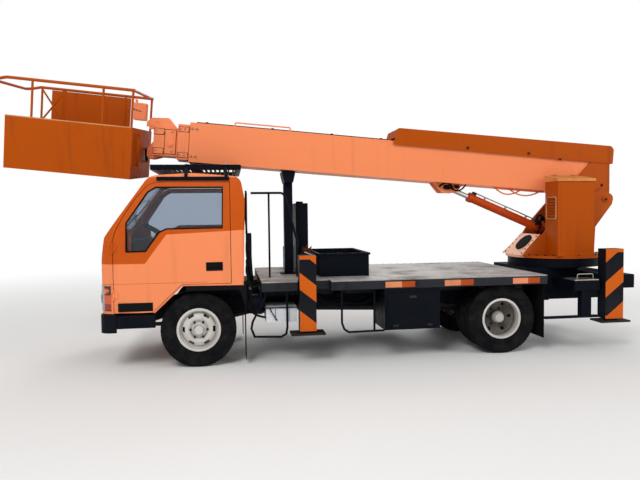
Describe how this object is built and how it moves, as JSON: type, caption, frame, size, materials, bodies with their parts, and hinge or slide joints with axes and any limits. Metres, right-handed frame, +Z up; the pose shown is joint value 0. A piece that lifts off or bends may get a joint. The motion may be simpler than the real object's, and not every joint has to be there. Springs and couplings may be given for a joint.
{
  "type": "cherry picker truck",
  "caption": "Light cab-over truck with a slewing telescopic boom over the cab, a hydraulic lift cylinder, outriggers and a work basket.",
  "frame": {"origin": "on the ground, below the middle of the whole machine as it parks", "axes": "+X towards the rear of the truck, +Y to its right, +Z up"},
  "size_m": [7.1921, 1.97, 3.1298],
  "materials": {
    "orange": "satin paint, faded",
    "burnt_orange": "satin paint, faded",
    "black": "satin paint",
    "deck_grey": "worn matt paint",
    "striped": "black and orange stripes",
    "steel": "dull cast and forged steel",
    "wheel_white": "painted, dusty",
    "tyre": "matt rubber",
    "rubber": "matt",
    "glass": "clear",
    "chrome": "polished",
    "cylinder_red": "satin paint",
    "plastic": "matt",
    "lamp": "clear lens",
    "lamp_red": "coloured lens",
    "trim_fabric": "woven cloth",
    "light_grey": "satin paint"
  },
  "bodies": {
    "chassis": {"chassis_frame": "black", "engine_block": "steel", "front_axle": "steel", "rear_axle": "steel", "leaf_springs": "steel", "cab_shell": "orange", "cab_glass": "glass", "dashboard": "plastic", "seats": "trim_fabric", "steering_wheel": "plastic", "front_bumper": "black", "front_lamps": "lamp", "grille": "black", "roof_guard": "black", "deck": "deck_grey", "side_lockers": "black", "battery_box": "light_grey", "step_rails": "black", "handrail": "black", "mudflaps": "rubber", "wheel_arches": "plastic", "boom_rest": "black", "oil_tank": "black", "tool_tray": "black", "outrigger_sleeves": "striped", "rear_bumper": "black", "rear_lamps": "lamp_red", "rear_steps": "black", "turntable_base": "black"},
    "door_left": {"door_left": "orange", "door_glass_left": "glass"},
    "door_right": {"door_right": "orange", "door_glass_right": "glass"},
    "knuckle_left": {"knuckle_left": "steel"},
    "knuckle_right": {"knuckle_right": "steel"},
    "front_wheel_left": {"front_wheel_left": "wheel_white", "front_tyre_left": "tyre"},
    "front_wheel_right": {"front_wheel_right": "wheel_white", "front_tyre_right": "tyre"},
    "rear_wheels_left": {"rear_wheels_left": "wheel_white", "rear_tyres_left": "tyre"},
    "rear_wheels_right": {"rear_wheels_right": "wheel_white", "rear_tyres_right": "tyre"},
    "jack_front_left": {"jack_front_left": "steel"},
    "jack_front_right": {"jack_front_right": "steel"},
    "jack_rear_left": {"jack_rear_left": "steel"},
    "jack_rear_right": {"jack_rear_right": "steel"},
    "turret": {"turret": "burnt_orange", "control_box": "burnt_orange"},
    "control_box_lid": {"control_box_lid": "burnt_orange"},
    "boom": {"boom_base": "orange", "boom_cover": "burnt_orange"},
    "boom_middle": {"boom_middle": "orange"},
    "boom_tip": {"boom_tip": "orange"},
    "cylinder_barrel": {"cylinder_barrel": "cylinder_red"},
    "cylinder_rod": {"cylinder_rod": "chrome"},
    "basket_mount": {"basket_mount": "black"},
    "basket": {"basket": "burnt_orange"}
  },
  "joints": [
    {"name": "door_left_hinge", "type": "hinge", "parent": "chassis", "child": "door_left", "pos_m": [-2.379, -0.83544, 1], "axis": [0, 0, 1], "range_deg": [-65, 0]},
    {"name": "door_right_hinge", "type": "hinge", "parent": "chassis", "child": "door_right", "pos_m": [-2.379, 0.83544, 1], "axis": [0, 0, 1], "range_deg": [0, 65]},
    {"name": "steer_left", "type": "hinge", "parent": "chassis", "child": "knuckle_left", "pos_m": [-1.538, -0.6, 0.3935], "axis": [0, 0, 1], "range_deg": [-32, 32]},
    {"name": "steer_right", "type": "hinge", "parent": "chassis", "child": "knuckle_right", "pos_m": [-1.538, 0.6, 0.3935], "axis": [0, 0, 1], "range_deg": [-32, 32]},
    {"name": "front_left_roll", "type": "hinge", "parent": "knuckle_left", "child": "front_wheel_left", "pos_m": [-1.538, -0.7, 0.3935], "axis": [0, 1, 0], "continuous": true},
    {"name": "front_right_roll", "type": "hinge", "parent": "knuckle_right", "child": "front_wheel_right", "pos_m": [-1.538, 0.7, 0.3935], "axis": [0, 1, 0], "continuous": true},
    {"name": "rear_left_roll", "type": "hinge", "parent": "chassis", "child": "rear_wheels_left", "pos_m": [1.812, -0.635, 0.3935], "axis": [0, 1, 0], "continuous": true},
    {"name": "rear_right_roll", "type": "hinge", "parent": "chassis", "child": "rear_wheels_right", "pos_m": [1.812, 0.635, 0.3935], "axis": [0, 1, 0], "continuous": true},
    {"name": "jack_front_left_slide", "type": "slide", "parent": "chassis", "child": "jack_front_left", "axis": [0, 0, -1], "range_m": [0, 0.322]},
    {"name": "jack_front_right_slide", "type": "slide", "parent": "chassis", "child": "jack_front_right", "axis": [0, 0, -1], "range_m": [0, 0.322]},
    {"name": "jack_rear_left_slide", "type": "slide", "parent": "chassis", "child": "jack_rear_left", "axis": [0, 0, -1], "range_m": [0, 0.322]},
    {"name": "jack_rear_right_slide", "type": "slide", "parent": "chassis", "child": "jack_rear_right", "axis": [0, 0, -1], "range_m": [0, 0.322]},
    {"name": "slew", "type": "hinge", "parent": "chassis", "child": "turret", "pos_m": [2.912, 0, 1.025], "axis": [0, 0, 1], "range_deg": [-180, 180]},
    {"name": "control_box_lid_hinge", "type": "hinge", "parent": "turret", "child": "control_box_lid", "pos_m": [2.879, -0.2823, 2.034], "axis": [1, 0, 0], "range_deg": [-80, 0]},
    {"name": "luff", "type": "hinge", "parent": "turret", "child": "boom", "pos_m": [3.446, 0, 1.735], "axis": [0, 1, 0], "range_deg": [0, 70]},
    {"name": "extend_middle", "type": "slide", "parent": "boom", "child": "boom_middle", "axis": [-0.9968, 0, 0.0802], "range_m": [0, 1.4]},
    {"name": "extend_tip", "type": "slide", "parent": "boom_middle", "child": "boom_tip", "axis": [-0.9968, 0, 0.0802], "range_m": [0, 1.4]},
    {"name": "basket_level", "type": "hinge", "parent": "boom_tip", "child": "basket_mount", "pos_m": [-2.07431, 0, 2.28951], "axis": [0, 1, 0], "range_deg": [-70, 0]},
    {"name": "basket_swing", "type": "hinge", "parent": "basket_mount", "child": "basket", "pos_m": [-2.12831, 0, 2.28951], "axis": [0, 0, 1], "range_deg": [-20, 20]},
    {"name": "cylinder_pivot", "type": "hinge", "parent": "turret", "child": "cylinder_barrel", "pos_m": [2.792, 0, 1.345], "axis": [0, 1, 0], "range_deg": [0, 71.45]},
    {"name": "cylinder_slide", "type": "slide", "parent": "cylinder_barrel", "child": "cylinder_rod", "axis": [-0.9203, 0, 0.3913], "range_m": [0, 0.8784]}
  ],
  "couplings": [
    {"joint": "steer_right", "follows": "steer_left", "ratio": 1},
    {"joint": "extend_tip", "follows": "extend_middle", "ratio": 1},
    {"joint": "basket_level", "follows": "luff", "ratio": -1},
    {"joint": "cylinder_pivot", "follows": "luff", "ratio": 1.0064},
    {"joint": "cylinder_slide", "follows": "luff", "m_per_rad": 0.71489}
  ]
}
